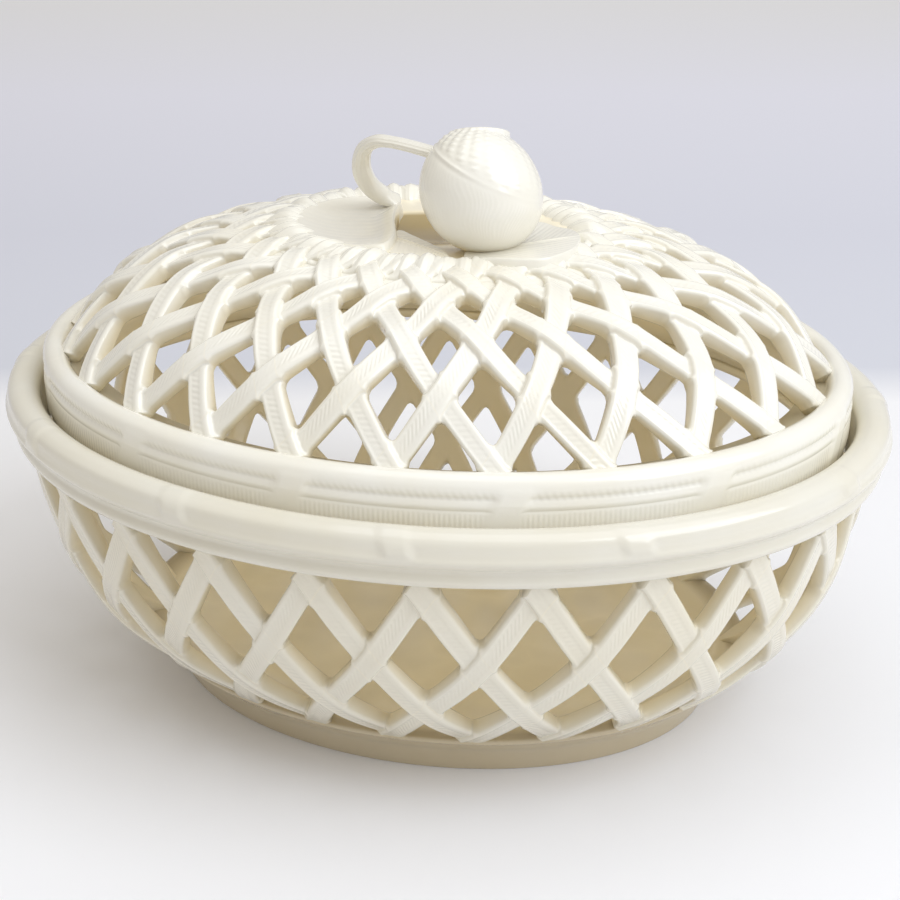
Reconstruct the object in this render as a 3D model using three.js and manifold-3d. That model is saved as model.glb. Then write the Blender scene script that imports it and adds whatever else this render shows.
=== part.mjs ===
// Oval creamware bowl with a pierced basket wall, and a lift-off cover of the same weave.
// Millimetres. +X runs along the oval's long axis, +Z is up, and z = 0 is the foot's underside.
import * as THREE from "three";
import Module from "manifold-3d";

const wasm = await Module();
wasm.setup();

// The oval plan, measured to the centre line of the rim's roll
const HALF_LENGTH = 128;
const HALF_WIDTH = 100.3;
const STEPS = 48; // straight steps round an oval
const GAP = 0.3; // the luted joint between two pieces

// Heights up the bowl
const FOOT_TOP = 7.2;
const DISH_FLOOR = 12.8;
const DISH_EDGE = 16.7;
const RIM_BOTTOM = 82.6;
const ROLL_HEIGHT = 92.5;
const ROLL_RADIUS = 5.2;
const SEAT_TOP = 85.7;

// Heights up the cover
const BAND_BOTTOM = SEAT_TOP + GAP;
const SHOULDER = 103.5;
const BEAD_HEIGHT = 104.4;
const BEAD_RADIUS = 3.8;
const BEAD_INSET = 10.6; // the bead's centre line, in from the rim's
const CROWN_BOTTOM = 138.2;
const CROWN_EDGE = 142.6;
const CROWN_TOP = 143.9;
const CROWN_HALF_LENGTH = 43.9;
const CROWN_HALF_WIDTH = 33.9;

// The weave
const JUNCTIONS = 24; // pairs of straps round each wall
const PITCH = (2 * Math.PI) / JUNCTIONS;
const EVEN = 0.053; // evens out the pitch along the oval
const BOWL_STRAP_WIDTH = 6.8;
const COVER_STRAP_WIDTH = 6;
const STRAP_THICK = 4.8;

// The fruit, its stem and its leaves
const NUT_RADIUS = 17.3;
const NUT_CENTRE = new THREE.Vector3(16.6, -14, 158.5);
const SCAR_RADIUS = 7.2; // the flat patch at the head of the fruit
const SCAR_HEIGHT = 16.8; // from the fruit's centre
const NUT_HEAD = new THREE.Vector3(-0.1, 0.4, 0.91).normalize();
const LEAF_THICK = 2.2;
const STEM_WIDTH = 5.6;
const STEM_THICK = 3.6;

const IVORY = 0xefeadb;
const root = new THREE.Group();

// Adds one named piece of glazed earthenware to the object.
function addPiece(name, geometry, color = IVORY) {
  const glaze = new THREE.MeshStandardMaterial({ color, roughness: 0.15, metalness: 0 });
  const mesh = new THREE.Mesh(geometry, glaze);
  mesh.name = name;
  root.add(mesh);
}

// Helpers between a three.js surface and a solid that can be cut or joined

function surface(points, faces) {
  const geometry = new THREE.BufferGeometry();
  geometry.setAttribute("position", new THREE.Float32BufferAttribute(points, 3));
  geometry.setIndex(faces);
  geometry.computeVertexNormals();
  return geometry;
}

// Joins vertices that lie within a thousandth of a millimetre, and drops the faces that collapse.
function weld(geometry) {
  const position = geometry.getAttribute("position");
  const index = geometry.index ? geometry.index.array : [...Array(position.count).keys()];
  const points = [];
  const seen = new Map();
  const renumbered = [];
  for (let i = 0; i < position.count; i++) {
    const p = [position.getX(i), position.getY(i), position.getZ(i)];
    const key = p.map((value) => Math.round(value * 1000)).join();
    if (!seen.has(key)) {
      seen.set(key, points.length / 3);
      points.push(...p);
    }
    renumbered.push(seen.get(key));
  }
  const faces = [];
  for (let i = 0; i < index.length; i += 3) {
    const [a, b, c] = [0, 1, 2].map((k) => renumbered[index[i + k]]);
    if (a !== b && b !== c && c !== a) faces.push(a, b, c);
  }
  return { points, faces };
}

function toSolid(geometry) {
  const { points, faces } = weld(geometry);
  return new wasm.Manifold(
    new wasm.Mesh({
      numProp: 3,
      vertProperties: new Float32Array(points),
      triVerts: new Uint32Array(faces),
    }),
  );
}

function toGeometry(solid) {
  const { vertProperties, triVerts, numProp } = solid.getMesh();
  const points = [];
  for (let i = 0; i < vertProperties.length; i += numProp) {
    points.push(vertProperties[i], vertProperties[i + 1], vertProperties[i + 2]);
  }
  return surface(points, [...triVerts]);
}

// Solids that run round the oval

// Sweeps an outline of [half length, half width, height] rings round the oval. The outline runs
// outwards along the bottom and back along the top. It closes on itself, or starts and ends on the axis.
function ovalSolid(rings) {
  const onAxis = rings[0][0] === 0;
  const n = rings.length;
  const points = [];
  for (let i = 0; i < STEPS; i++) {
    const angle = (i / STEPS) * 2 * Math.PI;
    for (const [a, b, z] of rings) points.push(a * Math.cos(angle), b * Math.sin(angle), z);
  }
  const faces = [];
  for (let i = 0; i < STEPS; i++) {
    for (let j = 0; j < (onAxis ? n - 1 : n); j++) {
      const here = i * n;
      const next = ((i + 1) % STEPS) * n;
      const above = (j + 1) % n;
      if (rings[j][0] > 0) faces.push(here + j, next + j, next + above);
      if (rings[above][0] > 0) faces.push(here + j, next + above, here + above);
    }
  }
  return surface(points, faces);
}

// Rings that keep a constant distance from the rim's centre line: the outline lists [out, up].
const alongRim = (outline) =>
  outline.map(([out, up]) => [HALF_LENGTH + out, HALF_WIDTH + out, up]);

// Points of a round stretch of outline, from one angle to another in degrees.
function arc(out, up, radius, from, to, count) {
  return Array.from({ length: count }, (_, i) => {
    const angle = THREE.MathUtils.degToRad(from + ((to - from) * i) / (count - 1));
    return [out + radius * Math.cos(angle), up + radius * Math.sin(angle)];
  });
}

// A solid oval block with upright sides, used for cutting.
function ovalBlock(a, b, low, high) {
  return ovalSolid([[0, 0, low], [a, b, low], [a, b, high], [0, 0, high]]);
}

// The pierced walls, woven from straps

// A wall's outer face: its rings are [half length, half width, height], one for each row of crossings,
// with one more ring before the first row and after the last to carry the curve on.
function wallFace(rings) {
  const knots = rings.map((ring) => new THREE.Vector3(...ring));
  const curve = new THREE.CatmullRomCurve3(knots, false, "catmullrom");
  return (row, turn) => {
    const ring = curve.getPoint((row + 1) / (rings.length - 1));
    const even = turn * PITCH - Math.PI / 2;
    const angle = even + EVEN * Math.sin(2 * even);
    return new THREE.Vector3(ring.x * Math.cos(angle), ring.y * Math.sin(angle), ring.z);
  };
}

// How the face runs at one place: millimetres per row, millimetres per turn, and the way out of it.
function slopes(face, row, turn) {
  const step = 0.01;
  const alongTurn = face(row, turn + step).sub(face(row, turn - step)).divideScalar(2 * step);
  const alongRow = face(row + step, turn).sub(face(row - step, turn)).divideScalar(2 * step);
  const out = alongTurn.clone().cross(alongRow).normalize();
  return { perRow: alongRow.length(), perTurn: alongTurn.length(), out };
}

// Where the edges of two crossing straps meet: south, east, north and west of the crossing's centre,
// in half spans. A strap moves half a turn per row, so a span reaches twice as far in rows.
const CORNERS = { S: [-2, 0], E: [0, 1], N: [2, 0], W: [0, -1] };

// The edges between them, which strap leaves through each (the one that rises to the right or the
// other), and whether it goes on above or below the crossing.
const LOZENGE_EDGES = [
  { from: "S", to: "E", rises: false, above: false },
  { from: "E", to: "N", rises: true, above: true },
  { from: "N", to: "W", rises: false, above: true },
  { from: "W", to: "S", rises: true, above: false },
];

// Straps that rise to the right cross straps that rise to the left, half a turn further on in each row.
// The strap on top runs straight through at the high level. The other one dips to the low level,
// meets its sides, and comes up again to be on top at the next crossing.
function weaveWall({ rings, phase, strapWidth, weave, rightOverAt }) {
  const face = wallFace(rings);
  const lastRow = rings.length - 3;
  const depths = { high: weave, low: -weave, back: -STRAP_THICK };
  const points = [];
  const faces = [];
  const numbers = new Map();

  function corner(row, index, name, level) {
    const column = (index + JUNCTIONS) % JUNCTIONS;
    const key = [row, column, name, level].join();
    if (!numbers.has(key)) {
      const centre = column + phase + row / 2;
      const { perRow, perTurn } = slopes(face, row, centre);
      const halfSpan = (strapWidth / 2) * Math.hypot(1, perTurn / 2 / perRow) / perTurn;
      const [rows, turns] = CORNERS[name].map((spans) => spans * halfSpan);
      const { out } = slopes(face, row + rows, centre + turns);
      const point = face(row + rows, centre + turns).addScaledVector(out, depths[level]);
      numbers.set(key, points.length / 3);
      points.push(...point.toArray());
    }
    return numbers.get(key);
  }

  const polygon = (...loop) => {
    for (let i = 1; i + 1 < loop.length; i++) faces.push(loop[0], loop[i], loop[i + 1]);
  };

  // The upright side of a strap, from the end where it is low to the end where it is high.
  function side(lowEnd, highEnd, turned, level = "low") {
    const [first, ...rest] = [
      corner(...lowEnd, level),
      corner(...highEnd, "high"),
      corner(...highEnd, "low"),
      corner(...highEnd, "back"),
      corner(...lowEnd, "back"),
    ];
    polygon(first, ...(turned ? rest.reverse() : rest));
  }

  function strapPiece(row, index, lean, startsHigh) {
    const [right0, right1, left1, left0] =
      lean > 0
        ? [[row, index, "E"], [row + 1, index, "S"], [row + 1, index, "W"], [row, index, "N"]]
        : [[row, index, "N"], [row + 1, index - 1, "E"], [row + 1, index - 1, "S"], [row, index, "W"]];
    const [start, end] = startsHigh ? ["high", "low"] : ["low", "high"];
    polygon(
      corner(...right0, start),
      corner(...right1, end),
      corner(...left1, end),
      corner(...left0, start),
    );
    polygon(...[left0, left1, right1, right0].map((place) => corner(...place, "back")));
    if (startsHigh) {
      side(right1, right0, false);
      side(left1, left0, true);
    } else {
      side(right0, right1, true);
      side(left0, left1, false);
    }
  }

  // The lozenge where two straps cross. Each of its edges is where one strap goes on to the next row.
  function crossing(row, index, rightOver) {
    const at = (name, level) => corner(row, index, name, level);
    polygon(...["S", "E", "N", "W"].map((name) => at(name, "high")));
    polygon(...["W", "N", "E", "S"].map((name) => at(name, "back")));
    for (const { from, to, rises, above } of LOZENGE_EDGES) {
      const wallEnds = above ? row === lastRow : row === 0;
      const goesUnder = rises !== rightOver;
      const tipFirst = from === "S" || from === "N";
      if (wallEnds) {
        const [tip, flank] = tipFirst ? [from, to] : [to, from];
        side([row, index, tip], [row, index, flank], tipFirst, "high");
      } else if (goesUnder) {
        polygon(at(to, "high"), at(from, "high"), at(from, "low"), at(to, "low"));
      }
    }
  }

  for (let row = 0; row <= lastRow; row++) {
    const rightOver = row % 2 === rightOverAt;
    for (let index = 0; index < JUNCTIONS; index++) {
      crossing(row, index, rightOver);
      if (row === lastRow) continue;
      strapPiece(row, index, 1, rightOver);
      strapPiece(row, index, -1, !rightOver);
    }
  }
  return toSolid(surface(points, faces));
}

function cutBy(solid, ...cutters) {
  return cutters.reduce((left, cutter) => left.subtract(toSolid(cutter)), solid);
}

// A block that holds everything between two heights, used for trimming.
function slab(low, high) {
  return new THREE.BoxGeometry(400, 400, high - low).translate(0, 0, (low + high) / 2);
}

// The bowl

function makeFoot() {
  return ovalSolid([
    [80, 57, 0],
    [86, 62.5, 0],
    [88, 64.5, FOOT_TOP],
    [79, 56, FOOT_TOP],
  ]);
}

function makeDish() {
  return ovalSolid([
    [0, 0, FOOT_TOP + GAP],
    [86.5, 63, FOOT_TOP + GAP],
    [91.2, 67.3, 10.4],
    [95.6, 71.2, 14.6],
    [97.1, 72.4, 15.4],
    [97.1, 72.4, DISH_EDGE],
    [86.5, 63, DISH_EDGE],
    [80, 57.5, 14],
    [0, 0, DISH_FLOOR],
  ]);
}

function makeBowlWall() {
  const wall = weaveWall({
    rings: [
      [76, 53, 2],
      [97, 72, 16.4],
      [113.9, 87.2, 34],
      [123.1, 95.4, 53.8],
      [127, 99.3, 78.2],
      [128.5, 101, 102],
    ],
    phase: 0.34,
    strapWidth: BOWL_STRAP_WIDTH,
    weave: 0.5,
    rightOverAt: 0,
  });
  return toGeometry(cutBy(wall, slab(RIM_BOTTOM - GAP, 120), slab(-20, DISH_EDGE + GAP)));
}

function makeRim() {
  return ovalSolid(
    alongRim([
      [-7.8, RIM_BOTTOM],
      [1.4, RIM_BOTTOM],
      [3.2, 84],
      [3, 86],
      [1.8, 87.2],
      ...arc(0, ROLL_HEIGHT, ROLL_RADIUS, -60, 180, 8),
      [-7, 88.2],
      [-7.5, SEAT_TOP],
    ]),
  );
}

// The ledge inside the rim that carries the cover.
function makeSeat() {
  return ovalSolid(
    alongRim([
      [-16, SEAT_TOP - 2.6],
      [-8.2, RIM_BOTTOM],
      [-7.8, SEAT_TOP],
      [-16, SEAT_TOP],
    ]),
  );
}

// The cover

// The band that drops inside the rim, the bead above it and the shoulder the weave springs from.
function makeFlange() {
  return ovalSolid(
    alongRim([
      [-15.6, BAND_BOTTOM],
      [-9.8, BAND_BOTTOM],
      [-7.4, 89.6],
      [-6.9, 94],
      [-6.9, 102.2],
      ...arc(-BEAD_INSET, BEAD_HEIGHT, BEAD_RADIUS, -20, 180, 7),
      [-BEAD_INSET - BEAD_RADIUS, SHOULDER],
      [-21.5, SHOULDER],
      [-18.6, 97],
      [-15.6, 91],
    ]),
  );
}

function makeCoverWall() {
  const wall = weaveWall({
    rings: [
      [124, 95.5, 90],
      [114, 86.6, 107.4],
      [100.6, 77, 123.2],
      [83, 63.8, 133.8],
      [67, 51.6, 139.4],
      [54.5, 42, 142.8],
      [44.5, 34.3, 145.2],
      [35.5, 27.4, 146.8],
    ],
    phase: 0.49,
    strapWidth: COVER_STRAP_WIDTH,
    weave: 0.85,
    rightOverAt: 1,
  });
  const inside = -BEAD_INSET - BEAD_RADIUS - GAP;
  const top = BEAD_HEIGHT + BEAD_RADIUS + GAP;
  const beadRoom = ovalSolid(alongRim([[inside, 90], [20, 90], [20, top], [inside, top]]));
  const crownHole = ovalBlock(CROWN_HALF_LENGTH + GAP, CROWN_HALF_WIDTH + GAP, 130, 155);
  return toGeometry(cutBy(wall, slab(70, SHOULDER + GAP), beadRoom, crownHole));
}

function makeCrown() {
  return ovalSolid([
    [0, 0, CROWN_BOTTOM],
    [CROWN_HALF_LENGTH, CROWN_HALF_WIDTH, CROWN_BOTTOM],
    [CROWN_HALF_LENGTH, CROWN_HALF_WIDTH, CROWN_EDGE],
    [39, 29.5, CROWN_TOP - 0.4],
    [0, 0, CROWN_TOP],
  ]);
}

// The finial

function nutBall(radius) {
  return new THREE.SphereGeometry(radius, 20, 12).translate(...NUT_CENTRE.toArray());
}

// The fruit, with its flat scar on top, cut off level where it is luted to the crown.
function makeNut() {
  const lean = new THREE.Quaternion().setFromUnitVectors(new THREE.Vector3(0, 0, 1), NUT_HEAD);
  const atHead = (shape) => shape.applyQuaternion(lean).translate(...NUT_CENTRE.toArray());
  const scar = new THREE.CylinderGeometry(SCAR_RADIUS - 0.4, SCAR_RADIUS, SCAR_HEIGHT, 20)
    .rotateX(Math.PI / 2)
    .translate(0, 0, SCAR_HEIGHT / 2);
  const whole = toSolid(nutBall(NUT_RADIUS)).add(toSolid(atHead(scar)));
  return toGeometry(cutBy(whole, atHead(slab(SCAR_HEIGHT, 60)), slab(100, CROWN_TOP + GAP)));
}

// A leaf lying flat on the crown, inside a smooth line through the given places.
function leaf(outline, steps) {
  const loop = outline.map(([x, y]) => new THREE.Vector3(x, y, 0));
  const edge = new THREE.CatmullRomCurve3(loop, true).getSpacedPoints(steps).slice(0, steps);
  const shape = new THREE.Shape(edge.map(({ x, y }) => new THREE.Vector2(x, y)));
  return new THREE.ExtrudeGeometry(shape, { depth: LEAF_THICK, bevelEnabled: false })
    .translate(0, 0, CROWN_TOP + GAP);
}

// A broad lobe under the stem, and a pointed one that reaches in front of the fruit.
function makeLeftLeaf() {
  const outline = [
    [-40, 0],
    [-37, -12],
    [-28, -21],
    [-15, -26],
    [-2, -29],
    [10, -29],
    [3, -19],
    [-5, -13],
    [-9, -2],
    [-12, 10],
    [-20, 17.5],
    [-33, 13],
  ];
  return toGeometry(cutBy(toSolid(leaf(outline, 40)), nutBall(NUT_RADIUS + GAP)));
}

// A pointed leaf that comes out from under the fruit.
function makeRightLeaf() {
  const outline = [
    [9, -22],
    [19.5, -28.3],
    [30, -23],
    [38, -12.5],
    [41.5, 1],
    [34, 9],
    [24, 8],
    [13, -8],
  ];
  return toGeometry(cutBy(toSolid(leaf(outline, 32)), nutBall(NUT_RADIUS + GAP)));
}

// The stem leaves the fruit, bends back on itself and flares into a pad on the left leaf.
function makeStem() {
  const path = new THREE.CatmullRomCurve3(
    [
      [5.5, -12, 167.2],
      [-0.3, -10.5, 167.9],
      [-5.8, -8.5, 168.3],
      [-11.6, -6, 168.3],
      [-16.9, -3.3, 167.5],
      [-21.4, -0.4, 164.7],
      [-23.8, 2.2, 160.4],
      [-24.4, 4.2, 155.8],
      [-22.8, 5.8, 151.6],
      [-18.6, 7.4, 148.6],
    ].map((point) => new THREE.Vector3(...point)),
  );
  const section = new THREE.Shape();
  section.absellipse(0, 0, STEM_THICK / 2, STEM_WIDTH / 2, 0, 2 * Math.PI);
  const cord = new THREE.ExtrudeGeometry(section, { extrudePath: path, steps: 18, curveSegments: 5 });
  const leafTop = CROWN_TOP + GAP + LEAF_THICK;
  const pad = new THREE.LatheGeometry(
    [[0, 0], [4.8, 0], [4.6, 0.8], [3, 2.6], [0, 3.2]].map(([r, h]) => new THREE.Vector2(r, h)),
    14,
  )
    .rotateX(Math.PI / 2)
    .translate(-18.2, 8, leafTop + GAP);
  const joined = toSolid(cord).add(toSolid(pad));
  return toGeometry(cutBy(joined, nutBall(NUT_RADIUS + GAP), slab(130, leafTop + GAP)));
}

addPiece("foot_ring", makeFoot(), 0xdcd8c8);
addPiece("base_dish", makeDish());
addPiece("bowl_lattice", makeBowlWall());
addPiece("bowl_rim", makeRim());
addPiece("seat_ledge", makeSeat());
addPiece("cover_flange", makeFlange());
addPiece("cover_lattice", makeCoverWall());
addPiece("cover_crown", makeCrown());
addPiece("leaf_left", makeLeftLeaf());
addPiece("leaf_right", makeRightLeaf());
addPiece("stem", makeStem());
addPiece("nut", makeNut());

export default root;
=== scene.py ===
"""Looks of the oval reticulated covered bowl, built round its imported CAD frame.

The woven walls, rims, leaves, stem and fruit are modelled in millimetres in the CAD's own frame and
scaled to metres when each mesh is made.
"""

import math

import bpy
import numpy as np
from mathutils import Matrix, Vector


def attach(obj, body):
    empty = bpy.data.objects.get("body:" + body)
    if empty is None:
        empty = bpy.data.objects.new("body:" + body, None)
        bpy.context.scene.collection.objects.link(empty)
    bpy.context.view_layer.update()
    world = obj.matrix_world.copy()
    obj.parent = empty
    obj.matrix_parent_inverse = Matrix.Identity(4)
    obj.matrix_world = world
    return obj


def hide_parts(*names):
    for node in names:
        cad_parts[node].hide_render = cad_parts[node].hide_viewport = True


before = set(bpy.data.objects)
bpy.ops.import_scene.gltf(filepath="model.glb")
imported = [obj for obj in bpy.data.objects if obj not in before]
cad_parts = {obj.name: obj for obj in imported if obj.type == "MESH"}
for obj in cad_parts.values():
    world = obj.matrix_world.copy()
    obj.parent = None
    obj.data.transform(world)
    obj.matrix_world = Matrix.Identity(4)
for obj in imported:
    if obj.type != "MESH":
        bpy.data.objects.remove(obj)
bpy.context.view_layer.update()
scene = bpy.context.scene

MM = 0.001

# The oval plan of the rim, and the places where straps cross
HALF_LENGTH, HALF_WIDTH = 128.0, 100.3
CROSSINGS = 24  # in each row round the oval
PITCH = 2 * math.pi / CROSSINGS
EVEN = 0.053  # moves the crossings along the oval until they are evenly spaced, in radians

# The woven walls. Each ring is [half length, half width, height] at a row of crossings, and the first
# ring and the last lie outside the weave. phase turns the crossings along the oval, strap_half is half a
# strap's width, weave how far it rises and dips at a crossing, end_round how far its upper end curls down,
# and the last entry how far its face is painted towards the honey of the painted shade. With
# right_over_first, the strap that rises to the right is on top in the first row.
BOWL_WALL = {
    "rings": [(76, 53, 2), (97, 72, 16.4), (113.9, 87.2, 34), (123.1, 95.4, 53.8), (127, 99.3, 78.2),
              (128.5, 101, 102)],
    "phase": 0.34,
    "strap_half": 3.4,
    "weave": 0.5,
    "right_over_first": True,
    "end_round": 0.0,
    "face_painted_shade": 0.14,
}
COVER_WALL = {
    "rings": [(124, 95.5, 90), (114, 86.6, 107.4), (100.6, 77, 123.2), (83, 63.8, 133.8),
              (67, 51.6, 139.2), (54.5, 42, 142.2), (44.5, 34.3, 144.3), (35.5, 27.4, 145.6)],
    "phase": 0.49,
    "strap_half": 3.0,
    "weave": 0.85,
    "right_over_first": False,
    "end_round": 3.6,
    "face_painted_shade": 0.0,
}


# Small helpers

def smoothstep(low, high, value):
    t = np.clip((value - low) / (high - low), 0, 1)
    return t * t * (3 - 2 * t)


def between(low, low_full, high_full, high, value):
    """1 from low_full to high_full, fading to 0 at low and at high."""
    return smoothstep(low, low_full, value) * (1 - smoothstep(high_full, high, value))


def smooth_max(a, b, width):
    """The larger of a and b, with a soft crease where they differ by less than width."""
    blend = np.maximum(width - np.abs(a - b), 0) / width
    return np.maximum(a, b) + blend * blend * width / 4


def to_mesh(name, points, faces, material, body, replaced=(), shade=None):
    """One smooth-shaded object of the given points in millimetres, riding on a body of the frame.

    shade is the painted shade at each point, read by the glaze from the point attribute inside: 0 is
    the ivory, 1 the honey of painted shade inside the ware and 2 the brown of a painted shadow.
    """
    mesh = bpy.data.meshes.new(name)
    mesh.from_pydata((np.asarray(points, dtype=float) * MM).tolist(), [], faces)
    mesh.validate()
    mesh.polygons.foreach_set("use_smooth", [True] * len(mesh.polygons))
    # the point attribute inside carries the painted shade to the glaze
    inside = mesh.attributes.new("inside", "FLOAT", "POINT")
    if shade is not None:
        inside.data.foreach_set("value", np.asarray(shade, dtype=np.float32).ravel())
    mesh.materials.append(material)
    piece = bpy.data.objects.new(name, mesh)
    scene.collection.objects.link(piece)
    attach(piece, body)
    if replaced:
        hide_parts(*replaced)
    return piece


def quads(grid):
    """Faces of a grid of vertex numbers, whose last two axes are the grid's."""
    cells = np.stack([grid[..., :-1, :-1], grid[..., 1:, :-1], grid[..., 1:, 1:], grid[..., :-1, 1:]], -1)
    return cells.reshape(-1, 4)


# The oval

def oval_angle(turn):
    """Parameter of the ellipse at a turn, which counts crossings from the middle of the front."""
    even = turn * PITCH - math.pi / 2
    return even + EVEN * np.sin(2 * even)


def catmull(knots, u):
    """Points of the smooth curve through the knots, at u = 0 for the first and n - 1 for the last."""
    ends = [2 * knots[0] - knots[1], *knots, 2 * knots[-1] - knots[-2]]
    ends = np.array(ends, dtype=float)
    i = np.clip(np.floor(u).astype(int), 0, len(knots) - 2)
    t = (u - i)[..., None]
    p0, p1, p2, p3 = (ends[i + k] for k in range(4))
    m1, m2 = (p2 - p0) / 2, (p3 - p1) / 2
    return ((2 * t**3 - 3 * t**2 + 1) * p1 + (t**3 - 2 * t**2 + t) * m1
            + (3 * t**2 - 2 * t**3) * p2 + (t**3 - t**2) * m2)


class Wall:
    """The outer face of a woven wall. A place on it is a row of crossings and a turn round the oval."""

    def __init__(self, rings, phase, strap_half, weave, right_over_first, end_round, face_painted_shade):
        self.knots = np.array(rings, dtype=float)
        self.phase = phase
        self.strap_half = strap_half
        self.weave = weave
        self.end_round = end_round
        self.face_painted_shade = face_painted_shade
        self.side = 1 if right_over_first else -1
        self.last_row = len(rings) - 3

    def face(self, row, turn):
        row, turn = np.broadcast_arrays(row, turn)
        ring = catmull(self.knots, np.clip(row + 1, 0, len(self.knots) - 1))
        angle = oval_angle(turn)
        return np.stack([ring[..., 0] * np.cos(angle), ring[..., 1] * np.sin(angle), ring[..., 2]], -1)

    def slopes(self, row, turn):
        """Millimetres per row and per turn, and the unit vector that points out of the wall."""
        step = 0.01
        along_turn = (self.face(row, turn + step) - self.face(row, turn - step)) / (2 * step)
        along_row = (self.face(row + step, turn) - self.face(row - step, turn)) / (2 * step)
        out = np.cross(along_turn, along_row)
        out /= np.linalg.norm(out, axis=-1, keepdims=True)
        return np.linalg.norm(along_row, axis=-1), np.linalg.norm(along_turn, axis=-1), out

    def place(self, p, q, height):
        """A point at a height above the wall. p counts straps that rise to the right, q the others."""
        row, turn = q - p, (p + q) / 2 + self.phase
        return self.face(row, turn) + self.slopes(row, turn)[2] * height[..., None]


# The straps

STRAP_THICK = 4.8
EDGE = 1.0  # radius of a strap's rounded edge
DASH = 1.75  # spacing of the slanted dashes
SIDE_SLOPE = 4  # of a strap's side, below its rounded edge
BEAD_HEIGHT, PANEL_DEPTH, DASH_HEIGHT = 0.09, 0.17, 0.14
CREASE = 0.35  # width of the soft crease where straps cross
WIDEST_HALF = 0.455  # half a strap's width at most, as a share of the pitch, so that holes stay open
FILLET = 2.6  # radius of a hole's corners
FILLET_SHARE = 0.42  # that radius at most, as a share of a strap's free length
FILLET_BULGE = 0.29  # how far its curve stands off the sharp corner, as a share of the radius
EDGE_POWER = 8  # keeps the corners' curves to the edge of a strap
END_START = 0.2  # where on the last crossing a strap's end begins to curl down
EDGE_PAINTED_SHADE, EDGE_SHARP = 0.2, 40  # painted shade along a strap's edge, leading into the shade down its sides
# painted shade on the straps' backs and the inner faces: the honey of the ware's inside
INSIDE_PAINTED_SHADE = 1.0
MESH_STEP, BACK_EVERY = 0.45, 4  # mm from mesh line to mesh line, and lines for each one on the back
MOST_SLANT = 0.14  # how far mesh lines slant with the dashes, as a share of a strap piece's length
# The mesh lines along a strap's face and its back, from edge to edge, and how its back rounds at the edges
TOP_LINES = np.array([-1, -0.97, -0.9, -0.775, -0.7, -0.61, -0.5, -0.36, -0.21, -0.06, 0.09, 0.22, 0.32,
                      0.46, 0.62, 0.775, 0.9, 0.97, 1])
BACK_LINES = np.array([-1, -0.88, -0.5, 0.5, 0.88, 1])
BACK_RISE = np.array([0.7, 0.12, 0, 0, 0.12, 0.7])


def edge_drop(s, strap_half):
    """How far a strap's face lies below its crown, from its rounded edge outwards."""
    beyond = np.abs(s) * strap_half - (strap_half - EDGE)
    inside = np.clip(beyond, 0, EDGE)
    drop = EDGE - np.sqrt(EDGE**2 - inside**2)
    return drop + SIDE_SLOPE * np.maximum(beyond - EDGE, 0)


def strap_face(s, count, strap_half):
    """Height across and along a strap: an edge bead, a sunk panel of slanted dashes and a plain band."""
    panel = between(-0.64, -0.54, 0.24, 0.36, s)
    bead = np.exp(-(((s + 0.73) / 0.09) ** 2))
    phase = count + s * strap_half / DASH
    ridge = 0.5 + 0.5 * np.cos(2 * math.pi * phase)
    return BEAD_HEIGHT * bead + panel * (DASH_HEIGHT * ridge - PANEL_DEPTH) - edge_drop(s, strap_half)


def painted_edge_shade(s):
    """How much painted shade a place across a strap gets: more at its edges, above the shaded sides."""
    return EDGE_PAINTED_SHADE * s ** EDGE_SHARP


def corner(distance, fillet, weight, at_end):
    """How many mm a hole's rounded corner shifts a strap's edge along the strap and flares it out."""
    bulge = FILLET_BULGE * fillet
    shift = weight * bulge * np.clip(1 - distance / fillet, 0, 1)
    flare = weight * bulge * np.clip((fillet - (distance + shift)) / (fillet - bulge), 0, 1) ** 2
    # a line's own end lies where the crossing patch put it
    return shift, np.where(at_end, weight * bulge, flare)


def dash_slant(s, along, strap_half, length):
    """Slants the mesh lines with the dashes, but not at the ends of a strap piece or near its edges."""
    free = smoothstep(0, 1, along / 0.3) * smoothstep(0, 1, (1 - along) / 0.3)
    free = free * (1 - smoothstep(0.4, 0.75, np.abs(s)))
    return np.clip(s * strap_half / length, -MOST_SLANT, MOST_SLANT) * free


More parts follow.
